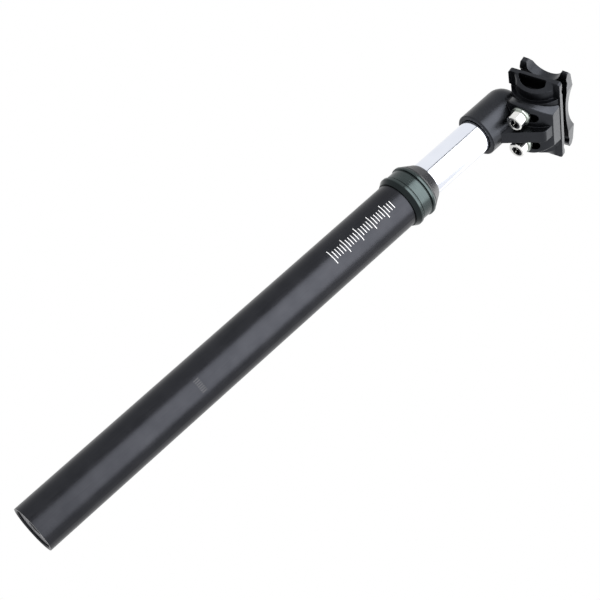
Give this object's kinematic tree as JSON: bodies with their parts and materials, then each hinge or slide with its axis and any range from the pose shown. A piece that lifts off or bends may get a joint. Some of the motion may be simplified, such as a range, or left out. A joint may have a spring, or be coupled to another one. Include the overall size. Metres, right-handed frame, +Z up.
{
  "type": "suspension seatpost",
  "caption": "Black telescopic bicycle seatpost with a bright sprung stanchion, a flanged collar and a tilting saddle-rail clamp set back on a forged head.",
  "frame": {"origin": "centre of the outer tube's lower end", "axes": "+Z up along the post, +X rearward, the side that the clamp is set back to, +Y to the rider's left"},
  "size_m": [0.0483, 0.0576, 0.3779],
  "materials": {
    "tube_black": "satin black anodised",
    "collar_black": "machined, black anodised, semi-gloss",
    "rubber_black": "matte",
    "bush_polymer": "moulded polymer",
    "brass": "drawn rod",
    "spring_steel": "oiled spring wire",
    "stanchion_chrome": "polished and clear anodised",
    "bare_alloy": "machined",
    "plug_alloy": "machined, dark anodised",
    "head_black": "satin black over forged alloy",
    "clamp_black": "satin black over forged alloy",
    "bolt_zinc": "bright zinc plate",
    "elastomer": "cast urethane"
  },
  "bodies": {
    "post": {"outer_tube": "tube_black", "collar_nut": "collar_black", "wiper_seal": "rubber_black", "upper_bush": "bush_polymer", "guide_sleeve": "bush_polymer", "guide_pin_1": "brass", "guide_pin_2": "brass", "guide_pin_3": "brass", "main_spring": "spring_steel"},
    "slider": {"stanchion": "stanchion_chrome", "stanchion_end_cap": "bare_alloy", "piston_ring": "bush_polymer", "topout_bumper": "rubber_black", "head_casting": "head_black"},
    "cradle": {"lower_cradle": "clamp_black", "left_washer": "bolt_zinc", "right_washer": "bolt_zinc"},
    "upper_jaw": {"upper_clamp": "clamp_black"},
    "left_screw": {"left_bolt": "bolt_zinc"},
    "right_screw": {"right_bolt": "bolt_zinc"},
    "preload_stack": {"spring_seat": "bush_polymer", "spacer_tube": "bush_polymer", "elastomer_bumper": "elastomer"},
    "plug": {"preload_plug": "plug_alloy"}
  },
  "joints": [
    {"name": "suspension_travel", "type": "slide", "parent": "post", "child": "slider", "axis": [0, 0, 1], "range_m": [-0.04, 0], "stiffness_N_per_m": 14000, "springref_m": 0.01, "deforming": ["main_spring"]},
    {"name": "saddle_tilt", "type": "hinge", "parent": "slider", "child": "cradle", "pos_m": [0.015, 0, 0.3664], "axis": [0, -1, 0], "range_deg": [0, 20]},
    {"name": "left_bolt_turn", "type": "hinge", "parent": "cradle", "child": "left_screw", "pos_m": [0.015, 0.0108, 0.3664], "axis": [0.1305, 0, -0.9914], "range_deg": [0, 1440]},
    {"name": "right_bolt_turn", "type": "hinge", "parent": "cradle", "child": "right_screw", "pos_m": [0.015, -0.0108, 0.3664], "axis": [0.1305, 0, -0.9914], "range_deg": [0, 1440]},
    {"name": "jaw_open", "type": "slide", "parent": "cradle", "child": "upper_jaw", "axis": [-0.1305, 0, 0.9914], "range_m": [0, 0.004]},
    {"name": "preload_lift", "type": "slide", "parent": "post", "child": "preload_stack", "axis": [0, 0, 1], "range_m": [0, 0.008], "deforming": ["main_spring"]},
    {"name": "preload_turn", "type": "hinge", "parent": "preload_stack", "child": "plug", "pos_m": [0, 0, 0.007], "axis": [0, 0, 1], "range_deg": [0, 1920]}
  ],
  "couplings": [
    {"joint": "left_bolt_turn", "follows": "jaw_open", "rad_per_m": 6283.2},
    {"joint": "right_bolt_turn", "follows": "jaw_open", "rad_per_m": 6283.2},
    {"joint": "preload_turn", "follows": "preload_lift", "rad_per_m": 4188.8}
  ]
}
